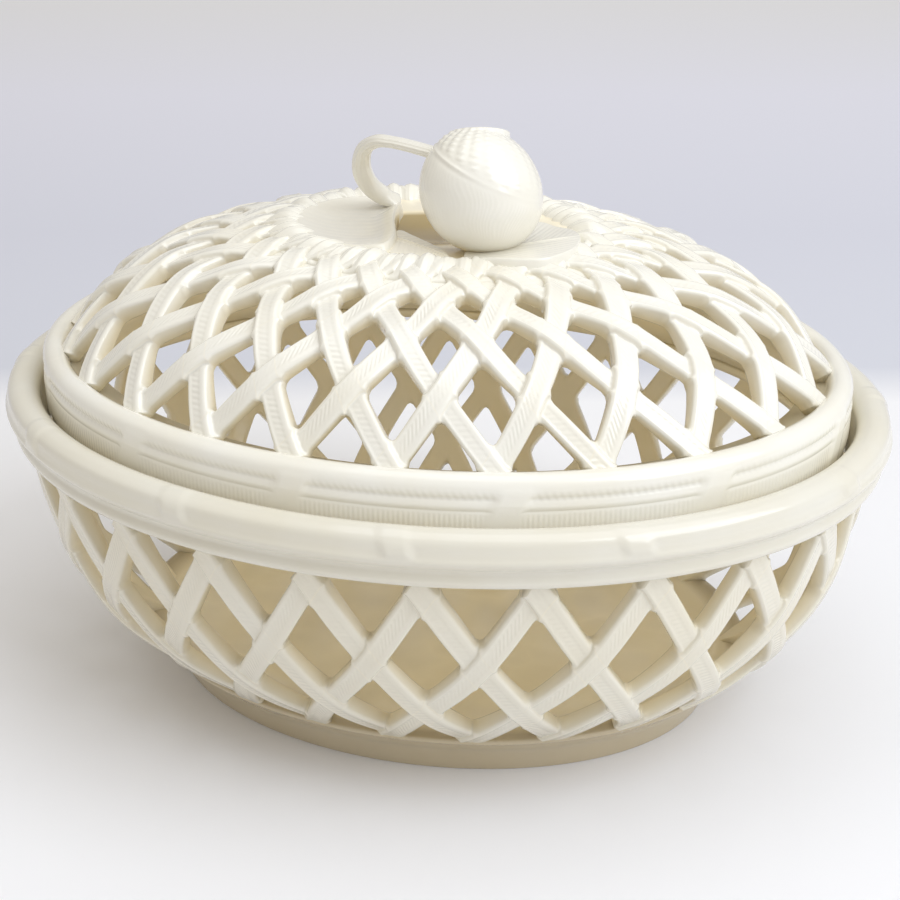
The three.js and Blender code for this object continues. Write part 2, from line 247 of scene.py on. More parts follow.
class Weave:
    """The mesh of a whole woven wall, as one closed surface.

    Each row has one crossing in each column. Crossing (i, j) is where strap i, which rises to the right,
    meets strap j, which rises to the left, and j - i is its row. s_p and s_q run from -1 to 1 across them.
    """

    def __init__(self, wall):
        self.wall = wall
        self.columns = np.arange(CROSSINGS)
        self.rows = np.arange(wall.last_row + 1)
        turn = self.columns[None, :] + wall.phase + self.rows[:, None] / 2
        per_row, per_turn, _ = wall.slopes(self.rows[:, None] + 0 * turn, turn)
        half = wall.strap_half * np.hypot(1, per_turn / 2 / per_row) / per_turn
        self.half = np.minimum(half, WIDEST_HALF)
        self.unit = np.hypot(per_row, per_turn / 2)  # mm along a strap from one crossing to the next
        dashes = [max(3, round(float(self.unit[row:row + 2].mean()) / DASH)) for row in self.rows[:-1]]
        self.dashes_below = np.concatenate([[0], np.cumsum(dashes)]).astype(float)
        self.points, self.faces, self.shades, self.total = [], [], [], 0
        self.top, self.back = [], []
        for row in self.rows:
            self.add_crossings(row)
        for row in self.rows[:-1]:
            self.add_straps(row, True)
            self.add_straps(row, False)
        self.close_ends()

    def mesh(self):
        return np.concatenate(self.points), self.faces, np.concatenate(self.shades)

    def add(self, block, shade):
        """Adds a block of points and returns their numbers in the same layout."""
        numbers = np.arange(self.total, self.total + block[..., 0].size).reshape(block.shape[:-1])
        self.points.append(block.reshape(-1, 3))
        self.shades.append((shade + 0 * block[..., 0]).ravel())
        self.total += numbers.size
        return numbers

    def level(self, row):
        """How far a strap that rises to the right lies above the wall: it goes over and under by turns."""
        return self.wall.side * self.wall.weave * np.cos(math.pi * row)

    def dash_count(self, row):
        return np.interp(row, np.arange(len(self.dashes_below)), self.dashes_below)

    def fillet(self, row):
        """Radius of the holes' corners at each crossing of a row."""
        free = self.unit * (1 - 2 * self.half)
        return np.minimum(FILLET, FILLET_SHARE * free[row])

    def heights(self, p, q, i, j, s_p, s_q):
        """Height of the woven face above the wall, near crossing (i, j)."""
        wall = self.wall
        right = self.level(q - i) + strap_face(s_p, self.dash_count(q - i), wall.strap_half)
        left = -self.level(j - p) + strap_face(s_q, self.dash_count(j - p), wall.strap_half)
        if wall.end_round:
            up = (np.maximum(s_q, -s_p) - END_START) / (1 - END_START)
            in_last_row = np.round(j - i) == wall.last_row
            drop = np.where(in_last_row, wall.end_round * np.clip(up, 0, 1) ** 2, 0)
            right, left = right - drop, left - drop
        return smooth_max(right, left, CREASE)

    def add_crossings(self, row):
        """The lozenges of a row where straps cross, front and back."""
        half, unit = self.half[row][:, None, None], self.unit[row][:, None, None]
        fillet = self.fillet(row)[:, None, None]
        i = self.columns[:, None, None].astype(float)
        j = i + row
        for lines, store in ((TOP_LINES, self.top), (BACK_LINES, self.back)):
            s_p, s_q = lines[None, :, None], lines[None, None, :]
            nudge = FILLET_BULGE * fillet / unit * np.abs(s_p) ** EDGE_POWER * np.abs(s_q) ** EDGE_POWER
            p = i + s_p * half + np.sign(s_p) * nudge
            q = j + s_q * half + np.sign(s_q) * nudge
            # painted shade: the face's own and more at its edges in front, the honey of the inside on the
            # back
            if lines is TOP_LINES:
                height = self.heights(p, q, i, j, s_p + 0 * q, s_q + 0 * p)
                shade = self.wall.face_painted_shade + painted_edge_shade(np.maximum(np.abs(s_p), np.abs(s_q)))
            else:
                rise = np.minimum(BACK_RISE[None, :, None], BACK_RISE[None, None, :])
                height, shade = rise - STRAP_THICK + 0 * p, INSIDE_PAINTED_SHADE
            store.append(self.add(self.wall.place(p, q, height), shade))
        self.faces.extend(quads(self.top[row]).tolist())
        self.faces.extend(quads(self.back[row])[:, ::-1].tolist())

    def strap_steps(self, row):
        """Mesh steps along the strap pieces between a row and the next, a multiple of BACK_EVERY."""
        half, unit = self.half, self.unit
        free = (unit[row] * (1 - half[row]) / 2 + unit[row + 1] * (1 - half[row + 1]) / 2).mean()
        length = float(free - unit[row].mean() * half[row].mean())
        return BACK_EVERY * max(1, round(length / MESH_STEP / BACK_EVERY))

    def add_straps(self, row, rises_right):
        """The strap pieces between a row and the next: faces, backs and the sides that line the holes."""
        ends = self.columns if rises_right else (self.columns - 1) % CROSSINGS
        start_half, end_half = self.half[row][:, None, None], self.half[row + 1][ends][:, None, None]
        start_unit, end_unit = self.unit[row][:, None, None], self.unit[row + 1][ends][:, None, None]
        start_fillet = self.fillet(row)[:, None, None]
        end_fillet = self.fillet(row + 1)[ends][:, None, None]
        i = self.columns[:, None, None].astype(float)
        j = i + row
        span = 1 - start_half - end_half
        length = span * ((start_unit + end_unit) / 2)
        steps = self.strap_steps(row)

        def sheet(lines, every):
            along = (np.arange(0, steps + 1, every) / steps)[None, None, :]
            s = lines[None, :, None]
            f = along - dash_slant(s, along, self.wall.strap_half, length)
            weight = np.abs(s) ** EDGE_POWER
            start_shift, start_flare = corner(f * span * start_unit, start_fillet, weight, along == 0)
            end_shift, end_flare = corner((1 - f) * span * end_unit, end_fillet, weight, along == 1)
            t = start_half + f * span + start_shift / start_unit - end_shift / end_unit
            half = start_half + (end_half - start_half) * f
            across = s * half + np.sign(s) * (start_flare / start_unit + end_flare / end_unit)
            near_start = f < 0.5
            near_half = np.where(near_start, start_half, end_half)
            if rises_right:
                p, q = i + across, j + t
                near = np.where(near_start, j, j + 1)
                crossing = (i + 0 * q, near, s + 0 * q, (q - near) / near_half)
            else:
                p, q = i - t, j + across
                near = np.where(near_start, i, i - 1)
                crossing = (near, j + 0 * p, (p - near) / near_half, s + 0 * p)
            # painted shade: the face's own and more at its edges in front, the honey of the inside on the
            # back
            if lines is TOP_LINES:
                height, shade = self.heights(p, q, *crossing), self.wall.face_painted_shade + painted_edge_shade(np.abs(s))
                patches = self.top
            else:
                height, shade = BACK_RISE[None, :, None] - STRAP_THICK + 0 * p, INSIDE_PAINTED_SHADE
                patches = self.back
            inner = self.add(self.wall.place(p, q, height)[:, :, 1:-1], shade)
            if rises_right:
                first, last = patches[row][:, :, -1], patches[row + 1][:, :, 0]
            else:
                first, last = patches[row][:, 0, :], patches[row + 1][ends][:, -1, :]
            return np.concatenate([first[:, :, None], inner, last[:, :, None]], 2)

        fine, coarse = sheet(TOP_LINES, 1), sheet(BACK_LINES, BACK_EVERY)
        self.faces.extend(quads(fine).tolist())
        self.faces.extend(quads(coarse)[:, ::-1].tolist())
        for cell in range(steps // BACK_EVERY):
            edge = fine[:, :, BACK_EVERY * cell:BACK_EVERY * (cell + 1) + 1]
            near_end, far_end = coarse[:, :, cell], coarse[:, :, cell + 1]
            low = np.concatenate([near_end[:, :1], edge[:, 0], far_end[:, :1]], 1)
            high = np.concatenate([far_end[:, -1:], edge[:, -1, ::-1], near_end[:, -1:]], 1)
            self.faces.extend(low.tolist())
            self.faces.extend(high.tolist())

    def close_ends(self):
        """The straps' cut ends, along the first row and the last."""
        for row, first, last in ((0, 0, -1), (self.wall.last_row, -1, 0)):
            top, back = self.top[row], self.back[row]
            for front, behind in ((top[:, :, first], back[:, :, first]), (top[:, last], back[:, last])):
                loop = np.concatenate([front, behind[:, ::-1]], 1)
                self.faces.extend((loop if row else loop[:, ::-1]).tolist())


# Solids that run round the oval

def closed_grid(points, on_axis):
    """Points and faces of a closed surface, from points in an array [step round the oval, outline place].

    The outline's ends lie on the axis, or else they join each other.
    """
    steps, count = points.shape[:2]
    numbers = np.arange(steps * count).reshape(steps, count)
    numbers = np.concatenate([numbers, numbers[:1]])
    if not on_axis:
        numbers = np.concatenate([numbers, numbers[:, :1]], 1)
        return points.reshape(-1, 3), quads(numbers).tolist()
    numbers[:, 0], numbers[:, -1] = numbers[0, 0], numbers[0, -1]
    faces = [list(dict.fromkeys(face)) for face in quads(numbers).tolist()]
    return points.reshape(-1, 3), faces


def around(steps):
    """Turns and angles of evenly numbered steps round the oval, as columns."""
    turn = (np.arange(steps) * CROSSINGS / steps)[:, None]
    return turn, oval_angle(turn)


def oval_rings(rings, steps):
    """Sweeps rings of [half length, half width, height], from the axis back to it, round the oval."""
    rings = np.array(rings, dtype=float)
    _, angle = around(steps)
    long, wide, up = rings.T
    points = np.stack([long * np.cos(angle), wide * np.sin(angle), up + 0 * angle], -1)
    return closed_grid(points, True)


def along_oval(outline, steps, swell=None, half=(HALF_LENGTH, HALF_WIDTH), push=None):
    """Sweeps an outline of [out from an oval, up] round it.

    swell(turn) moves the surface along its normal and push(turn) moves it level.
    """
    outline = np.array(outline, dtype=float)
    tangent = np.roll(outline, -1, 0) - np.roll(outline, 1, 0)
    normal = np.stack([tangent[:, 1], -tangent[:, 0]], -1)
    normal /= np.linalg.norm(normal, axis=1, keepdims=True)
    turn, angle = around(steps)
    move = swell(turn) if swell else np.zeros((steps, len(outline)))
    out = outline[:, 0] + move * normal[:, 0]
    up = outline[:, 1] + move * normal[:, 1]
    if push:
        out = out + push(turn)
    points = np.stack([(half[0] + out) * np.cos(angle), (half[1] + out) * np.sin(angle), up], -1)
    return closed_grid(points, False)


def arc(out, up, radius, start, end, count):
    angles = np.radians(np.linspace(start, end, count))
    return [(out + radius * math.cos(a), up + radius * math.sin(a)) for a in angles]


def rounded(knots, each=6):
    """A smooth line through the knots, with the given number of points from each to the next."""
    knots = np.array(knots, dtype=float)
    return [tuple(v) for v in catmull(knots, np.arange(0, (len(knots) - 1) * each + 1) / each)]


def on_tie(turn, ties, half_width, soft):
    """1 on the ties, which bind the moulding at about every second crossing, and 0 between them."""
    away = np.full(np.shape(turn), np.inf)
    for tie in ties:
        away = np.minimum(away, np.abs((turn - tie + CROSSINGS / 2) % CROSSINGS - CROSSINGS / 2))
    return 1 - smoothstep(half_width - soft, half_width + soft, away)


# Materials

# painted shade: the bowl's ivory is a darker copy of the cover's, for the bowl's wall under the rim
BOWL_IVORY_SHADED = (0.78, 0.755, 0.67)
COVER_IVORY = (0.885, 0.868, 0.8)
# a darker tan than the ivory, for the foot and the dish
FOOT_TAN = (0.56, 0.48, 0.335)
# painted shade: honey for the shade and warm bounced light inside the ware, with some glaze that pools
HONEY_SHADE = (0.98, 0.88, 0.64)
# painted shadow: brown for the deepest shade, where glaze also pools
POOL_AND_SHADOW_BROWN = (0.44, 0.335, 0.145)
CLOUD = (0.95, 0.92, 0.84)
GLAZE_INDEX = 1.52  # refractive index of lead glaze
NOISE_LOW, NOISE_HIGH = 0.3, 0.7  # most of a noise texture's values lie between these


def glaze(name, colour):
    """A clear lead glaze over cream clay, with painted shade in honey and brown by the inside attribute.
    """
    material = bpy.data.materials.new(name)
    material.use_nodes = True
    nodes, links = material.node_tree.nodes, material.node_tree.links
    shader = nodes["Principled BSDF"]
    shader.inputs["IOR"].default_value = GLAZE_INDEX
    shader.inputs["Coat Weight"].default_value = 0.35
    shader.inputs["Coat Roughness"].default_value = 0.08
    place = nodes.new("ShaderNodeTexCoord")

    def noise(scale, detail):
        """Soft random values, with scale of them to each metre."""
        node = nodes.new("ShaderNodeTexNoise")
        node.inputs["Scale"].default_value = scale
        node.inputs["Detail"].default_value = detail
        links.new(place.outputs["Object"], node.inputs["Vector"])
        return node.outputs["Fac"]

    def spread(value, low, high):
        """Spreads a noise's values evenly from low to high."""
        node = nodes.new("ShaderNodeMapRange")
        node.inputs["From Min"].default_value = NOISE_LOW
        node.inputs["From Max"].default_value = NOISE_HIGH
        node.inputs["To Min"].default_value = low
        node.inputs["To Max"].default_value = high
        links.new(value, node.inputs["Value"])
        return node.outputs["Result"]

    # painted shade: the inside attribute, broken up by noise, moves the colour to honey, then brown
    # these stand for shade, shadow and warm bounced light, with some glaze that pools in hollows
    inside = nodes.new("ShaderNodeAttribute")
    inside.attribute_name = "inside"
    shade_and_pool = nodes.new("ShaderNodeMath")
    shade_and_pool.operation = "MULTIPLY"
    links.new(inside.outputs["Fac"], shade_and_pool.inputs[0])
    links.new(spread(noise(34, 2), 0.3, 0.5), shade_and_pool.inputs[1])
    depth = nodes.new("ShaderNodeValToRGB")
    depth.color_ramp.elements.new(0.5)
    for element, stop in zip(depth.color_ramp.elements, (colour, HONEY_SHADE, POOL_AND_SHADOW_BROWN)):
        element.color = (*stop, 1)
    links.new(shade_and_pool.outputs["Value"], depth.inputs["Fac"])
    cloud = nodes.new("ShaderNodeMix")
    cloud.data_type = "RGBA"
    cloud.blend_type = "MULTIPLY"
    cloud.inputs["B"].default_value = (*CLOUD, 1)
    links.new(depth.outputs["Color"], cloud.inputs["A"])
    links.new(spread(noise(38, 3), 0.0, 0.55), cloud.inputs["Factor"])
    links.new(cloud.outputs["Result"], shader.inputs["Base Color"])
    links.new(spread(noise(90, 2), 0.16, 0.27), shader.inputs["Roughness"])
    bump = nodes.new("ShaderNodeBump")
    bump.inputs["Strength"].default_value = 0.12
    bump.inputs["Distance"].default_value = 0.0004
    links.new(noise(260, 2), bump.inputs["Height"])
    links.new(bump.outputs["Normal"], shader.inputs["Normal"])
    return material


IVORY = glaze("ivory_glaze_bowl_shaded", BOWL_IVORY_SHADED)
IVORY_COVER = glaze("ivory_glaze_cover", COVER_IVORY)
FOOT_GLAZE = glaze("foot_glaze", FOOT_TAN)


# The bowl

RIM_BOTTOM, ROLL_HEIGHT, ROLL_RADIUS, SEAT_TOP = 82.6, 92.5, 5.2, 85.7
PLAIN_STEPS, RIM_STEPS = 288, 1440  # mesh steps round the oval
RIM_TIE, RIM_TIE_SOFT = 0.115, 0.05  # half a tie's width and the fade at its sides, in turns
TIE_PROUD, MOST_FILL = 0.3, 1.6  # how far a tie stands off the roll, and fills the flute at most
RIM_TIE_UP, BAND_TIE_UP = 91, 98  # heights at which the ties stand at their given turns
RIM_LEAN, BAND_LEAN = 0.01, 0.015  # how far a tie leans, in turns for each millimetre up
RIM_TIES = [-5.3, -3.29, -1.3, 0.69, 2.6, 4.8, 6.8, 8.7, 10.7, 12.7, 14.7, 16.7]
BAND_TIES = [-4.2, -2.25, -0.44, 1.56, 3.45, 5.34, 7.4, 9.5, 11.6, 13.7, 15.7, 17.8]


def make_bowl_weave():
    points, faces, shade = Weave(Wall(**BOWL_WALL)).mesh()
    to_mesh("bowl_weave", points, faces, IVORY, "bowl", ["bowl_lattice"], shade=shade)


def make_base():
    """The plain foot that flares up to the rounded edge of the dish, and the dish's floor."""
    outer = rounded([(80.6, 57.3, 0), (85.4, 61.9, 0), (86.2, 62.7, 1), (87.2, 63.8, 5), (88.6, 65, 8),
                     (91.4, 67.5, 10.9), (94.6, 70.4, 13.8), (96.3, 71.8, 14.9), (97, 72.4, 15.7),
                     (96.6, 72, 16.7), (94, 69.8, 16.9)])
    inner = rounded([(88, 64.3, 16.6), (80, 57.5, 14.2), (62, 44.5, 13.2), (30, 21.5, 12.9), (0, 0, 12.8)])
    under = [(0, 0, 7.4), (60, 43, 7.4), (79, 56, 7.4), (80, 57, 6), (80, 57, 0.6)]
    rings = [*under, *outer, *inner]
    rings = [(long, wide, max(up, 0)) for long, wide, up in rings]
    points, faces = oval_rings(rings, PLAIN_STEPS)
    in_dish = np.arange(len(rings)) >= len(under) + len(outer)
    # painted shade: the dish's floor inside the bowl is painted towards honey
    shade = np.tile(1.1 * in_dish, PLAIN_STEPS)
    to_mesh("foot_and_dish", points, faces, FOOT_GLAZE, "bowl", ["foot_ring", "base_dish"], shade=shade)


def make_rim():
    """A roll with a shallow flute round its face, bound by twelve ties, over a cove and a lip."""
    plain = [(-7.6, RIM_BOTTOM), (0, RIM_BOTTOM), (2.4, 82.7), (3.2, 83.4), (3.5, 84.4), (3.2, 85.5),
             (2.8, 86.6), (3, 87.7), (4.1, 88.8), (5.1, 90), (5.35, 91), (4.95, 92), (4.6, 93.3),
             (4.4, 94.8), (3.7, 96.2), (2, 97.35), *arc(0, ROLL_HEIGHT, ROLL_RADIUS, 90, 180, 6)]
    behind = [(-5.6, 90.8), (-6.8, 88.6), (-7.4, 86.2), (-7.6, 84)]
    line = np.array(rounded(plain, 3) + rounded(behind, 3))
    out, up = line.T
    reach = np.hypot(out, up - ROLL_HEIGHT)
    on_face = smoothstep(86.2, 89.5, up) * smoothstep(-3, 1, out)

    def swell(turn):
        bound = on_tie(turn + RIM_LEAN * (up - RIM_TIE_UP), RIM_TIES, RIM_TIE, RIM_TIE_SOFT)
        fill = (ROLL_RADIUS + TIE_PROUD - reach) * on_face
        return bound * np.clip(fill, 0, MOST_FILL)

    points, faces = along_oval(line, RIM_STEPS, swell)
    # painted shade on the rim's inner face, towards honey
    shade = np.tile(0.7 * (1 - smoothstep(-7, -3.6, out)), RIM_STEPS)
    to_mesh("rolled_rim", points, faces, IVORY, "bowl", ["bowl_rim"], shade=shade)


def make_seat():
    """The ledge inside the rim that the cover stands on."""
    line = [(-16, SEAT_TOP - 2.6), (-8.2, RIM_BOTTOM), (-7.8, SEAT_TOP - 0.3), (-8.1, SEAT_TOP),
            (-15.7, SEAT_TOP), (-16, SEAT_TOP - 0.3)]
    points, faces = along_oval(line, PLAIN_STEPS)
    # painted shade: the ledge inside the bowl is honey all over
    shade = np.full(len(points), INSIDE_PAINTED_SHADE)
    to_mesh("inner_ledge", points, faces, IVORY, "bowl", ["seat_ledge"], shade=shade)


# The cover

CROWN_OVAL, DISH_FLOOR = (44.5, 34.3), 142.3
SHADOW_POOL = (-5, 1)  # centre of the brown painted shadow in the dish, between the stem and the fruit, where glaze also pools
RIBS_PER_STRAP, RIB_STEPS = 4, 10  # ribs on each strap end of the border, and mesh steps for each
REEDS = 22  # upright reeds on the band in each turn
NOTCHES = 15  # slanted notches under the bead in each turn
REED_HEIGHT = 0.045  # of the reeds and notches
BAND_STEPS = CROSSINGS * REEDS * 5


def make_cover_weave():
    points, faces, shade = Weave(Wall(**COVER_WALL)).mesh()
    to_mesh("cover_weave", points, faces, IVORY_COVER, "cover", ["cover_lattice"], shade)


def make_band():
    """The reeded band that drops inside the rim, a fillet, and the bead that the weave springs from."""
    band = rounded([(-9.6, 86.2), (-8.2, 87.6), (-7.3, 90), (-6.95, 92.5), (-6.9, 95.5), (-6.9, 98.4),
                    (-7.05, 99.2), (-6.85, 99.8), (-6.75, 100.5), (-6.85, 101.2), (-7.1, 101.9)], 3)
    bead = arc(-10.6, 104.5, 3.7, -33, 105, 16)
    inside = [(-12.6, 107.6), (-14.2, 105.6), (-14.5, 103.6), (-21.5, 103.5), (-18.6, 97), (-15.6, 91),
              (-15.6, 86.2)]
    line = np.array([*band, *bead, *inside])
    out, up = line.T
    on_band = between(90, 92, 98, 98.8, up) * (out > -9)
    on_bead = between(101.4, 102.6, 103.5, 105.5, up) * (out > -9)
    bound_height = between(88.5, 90.5, 105.8, 107.4, up) * (out > -9.2)
    flush = np.interp(up, [88, 92, 97, 101, 104.5, 107], [-6.9, -6.65, -6.5, -6.35, -6.55, -7.7])

    def swell(turn):
        reeds = REED_HEIGHT * np.cos(2 * math.pi * turn * REEDS) * on_band
        notches = REED_HEIGHT * np.cos(2 * math.pi * (turn * NOTCHES + up / 4)) * on_bead
        bound = on_tie(turn - BAND_LEAN * (up - BAND_TIE_UP), BAND_TIES, 0.17, 0.05)
        return (1 - bound) * (reeds + notches)

    def push(turn):
        bound = on_tie(turn - BAND_LEAN * (up - BAND_TIE_UP), BAND_TIES, 0.15, 0.06)
        return bound * bound_height * (flush - out)

    points, faces = along_oval(line, BAND_STEPS, swell, push=push)
    # and honey on its inner side
    # painted shade: honey low on the band where it drops into the rim, partly glaze that pools,
    groove = 0.55 * (1 - smoothstep(89, 98, up))
    behind = 1 - smoothstep(-15.5, -13, out)
    shade = np.tile(np.maximum(groove, behind), BAND_STEPS)
    to_mesh("reeded_band", points, faces, IVORY_COVER, "cover", ["cover_flange"], shade)


def make_crown():
    """The shell behind the closed top rows of the weave, and the shallow dish that holds the finial."""
    shell = rounded([(56.2, 43.4, 136.4), (57.6, 44.5, 137.8), (57.2, 44.2, 139.3), (54, 41.6, 140.6),
                     (50, 38.5, 141.6), (46, 35.4, 142.2), (42, 32, DISH_FLOOR), (36, 27, DISH_FLOOR),
                     (24, 18, DISH_FLOOR - 0.2), (16, 12, DISH_FLOOR - 1), (8, 6, DISH_FLOOR - 2),
                     (0, 0, DISH_FLOOR - 2.2)])
    rings = [(0, 0, 138), (44, 34, 137.4), *shell]
    points, faces = oval_rings(rings, PLAIN_STEPS)
    reach = np.array(rings)[:, 0]
    # painted shade: honey over the crown's dish, and a brown painted shadow beside the fruit
    dish = np.tile(0.8 - 0.8 * smoothstep(41, 48, reach), PLAIN_STEPS)
    from_shadow_pool = np.hypot(points[:, 0] - SHADOW_POOL[0], points[:, 1] - SHADOW_POOL[1])
    shade = dish + 3 * (1 - smoothstep(10, 18, from_shadow_pool))
    to_mesh("crown_dish", points, faces, IVORY_COVER, "cover", ["cover_crown"], shade)


def make_border():
    """The crown's rope-like border: forty-eight ribbed strap ends that curl over into the dish."""
    line = rounded([(7.8, 139.6), (7.4, 141.2), (5.8, 142.7), (3.7, 144.2), (1.5, 145.3), (-0.8, 145.6),
                    (-3, 144.9), (-5, 143.8), (-6.6, 142), (-6, 141)], 4)
    out, up = np.array(line).T
    shown = smoothstep(140.8, 142.6, up)

    def swell(turn):
        strap = 2 * (turn - COVER_WALL["phase"]) + 0.5 + 0.035 * out + 0.1 * np.sin(turn * 1.7)
        away = np.abs(strap - np.round(strap))
        groove = 0.5 * (np.sqrt(1 - 3.6 * away**2) - 1) - 0.36 * np.sin(math.pi * away) ** 2
        bundle = (1.4 + 0.5 * smoothstep(0, 6, out)) * groove
        lump = 0.5 * np.sin(2.1 * np.round(strap)) * (1 - 4 * away**2)
        ribs = 0.04 * np.cos(2 * math.pi * RIBS_PER_STRAP * strap)
        under_leaf = (2.6 - 1.1 * smoothstep(-2.5, 0.5, out)) * between(1.4, 2.4, 5.6, 6.8, turn)
        return shown * (bundle + lump + ribs - under_leaf)

    points, faces = along_oval(line, 2 * CROSSINGS * RIBS_PER_STRAP * RIB_STEPS, swell, CROWN_OVAL)
    to_mesh("crown_border", points, faces, IVORY_COVER, "cover", ())


# The finial

NUT_CENTRE, NUT_RADIUS = np.array([17.0, -14, 158.7]), 17.3
NUT_HEAD = np.array([-0.1, 0.4, 0.91]) / math.hypot(0.1, 0.4, 0.91)
SEAM_AXIS, SEAM_ANGLE = np.array([0.387, 0.147, 0.91]), math.radians(71.4)
LONG_WAY, SHORT_WAY = np.array([-0.72, 0, 0.69]), np.array([0.63, 0.4, 0.66])
OUT_OF_ROUND = 0.034  # how much longer the fruit is along LONG_WAY, and shorter along SHORT_WAY
FLATTENED_WAY = np.array([0.77, 0.39, 0.5])
SMOOTH_WAY = np.array([0.94, -0.2, 0.2])  # thick glaze half hides the pimples and the seam on this side
SCAR_RADIUS, SCAR_HEIGHT, SCAR_DEPTH = 7.5, 16.2, 0.7
PIMPLE_COLUMNS, PIMPLE_ROW = 26, 2.0  # columns of pimples round the head, and mm from row to row


def across(head, sideways):
    """Two unit vectors square to the head and to each other."""
    first = np.array(sideways) - np.dot(sideways, head) * head
    first /= np.linalg.norm(first)
    return first, np.cross(head, first)


def nut_relief(way):
    """How far the fruit's skin stands off the plain ball in each direction: seam, pimples and dents."""
    from_head = np.arccos(np.clip(way @ NUT_HEAD, -1, 1))
    side, back = across(NUT_HEAD, (1, 0, 0))
    hidden = smoothstep(-0.1, 0.6, way @ SMOOTH_WAY)
    column = np.arctan2(way @ back, way @ side) * PIMPLE_COLUMNS / (2 * math.pi)
    row = from_head * NUT_RADIUS / PIMPLE_ROW + 0.5 * np.round(column)
    away = np.abs(column - np.round(column))
    pimple = (0.5 + 0.5 * np.cos(2 * math.pi * away)) * (0.65 + 0.35 * np.cos(2 * math.pi * row))
    off_seam = (np.arccos(np.clip(way @ SEAM_AXIS, -1, 1)) - SEAM_ANGLE) * NUT_RADIUS
    above = 1 - smoothstep(-2.6, -1, off_seam)
    skirt = smoothstep(5.6, 7.6, from_head * NUT_RADIUS)
    seam = 0.24 * np.exp(-((off_seam / 0.5) ** 2)) - 0.12 * np.exp(-(((off_seam - 1.1) / 0.6) ** 2))
    wander = 0.5 * np.sin(9 * from_head) + 0.4 * np.sin(2.3 * column)
    crease = 0.012 * np.cos(2 * math.pi * (3.1 * column + wander)) * smoothstep(1, 3, off_seam)
    dents = 0.1 * np.sin(5 * way[..., 0] + 2) * np.sin(6 * way[..., 2]) * np.sin(4 * way[..., 1] + 1)
    flattened = 0.8 * smoothstep(0.5, 1, way @ FLATTENED_WAY)
    pimples = (0.36 - 0.24 * hidden) * pimple * above * skirt
    return pimples + (1 - 0.8 * hidden) * seam + crease + dents - flattened


def make_nut():
    """The fruit: a smooth half, a seam, rows of pimples above it and a hollowed scar at the head."""
    rings, steps = 300, 640  # from the head to the foot, and round
    polar = (np.arange(rings + 1) / rings * math.pi)[:, None]
    turn = (np.arange(steps) / steps * 2 * math.pi)[None, :]
    side, back = across(NUT_HEAD, (1, 0, 0))
    way = ((np.sin(polar) * np.cos(turn))[..., None] * side
           + (np.sin(polar) * np.sin(turn))[..., None] * back
           + (np.cos(polar) + 0 * turn)[..., None] * NUT_HEAD)
    longer = OUT_OF_ROUND * ((way @ LONG_WAY) ** 2 - (way @ SHORT_WAY) ** 2)
    radius = NUT_RADIUS * (1 + longer) + nut_relief(way)
    scar_edge = math.atan(SCAR_RADIUS / SCAR_HEIGHT)
    soft = 0.05 + 0.06 * (1 - np.cos(turn))
    across_scar = np.tan(np.minimum(polar, 1)) * SCAR_HEIGHT / SCAR_RADIUS
    hollow = SCAR_DEPTH * np.clip(1 - across_scar ** 2, 0, 1)
    flat = (SCAR_HEIGHT - hollow - 0.1 * np.cos(9 * polar)) / np.maximum(np.cos(polar), 0.2)
    on_scar = 1 - smoothstep(scar_edge - 0.02, scar_edge + soft, polar)
    radius = radius + on_scar * (flat - radius)
    points = NUT_CENTRE + way * radius[..., None]
    points[..., 2] = np.maximum(points[..., 2], DISH_FLOOR - 0.2)
    numbers = np.arange(points[..., 0].size).reshape(points.shape[:2])
    numbers[0], numbers[-1] = numbers[0, 0], numbers[-1, 0]
    numbers = np.concatenate([numbers, numbers[:, :1]], 1)
    faces = [list(dict.fromkeys(face)) for face in quads(numbers).tolist()]
    # and in the hollowed scar, painted darker against the top lamp's light
    # painted shade: honey to brown at the fruit's foot where it meets the dish, partly glaze that pools,
    scar_shade = 1 - smoothstep(scar_edge - 0.09, scar_edge - 0.01, polar)
    foot_shade = 1 - smoothstep(0.5, 4, points[..., 2] - DISH_FLOOR)
    shade = 1.4 * foot_shade + 1.4 * scar_shade
    to_mesh("fruit", points.reshape(-1, 3), faces, IVORY_COVER, "cover", ["nut"], shade)


STEM_PATH = [(5.5, -12, 167.2), (-0.3, -10.5, 167.9), (-5.8, -8.5, 168.3), (-11.6, -6, 168.3),
             (-16.9, -3.3, 167.5), (-21.4, -0.4, 164.7), (-23.7, 2.2, 160.4), (-24.1, 4.2, 155.8),
             (-22.9, 7.2, 151.2), (-20.4, 10.6, 147.7), (-16.4, 12.8, 145.1)]


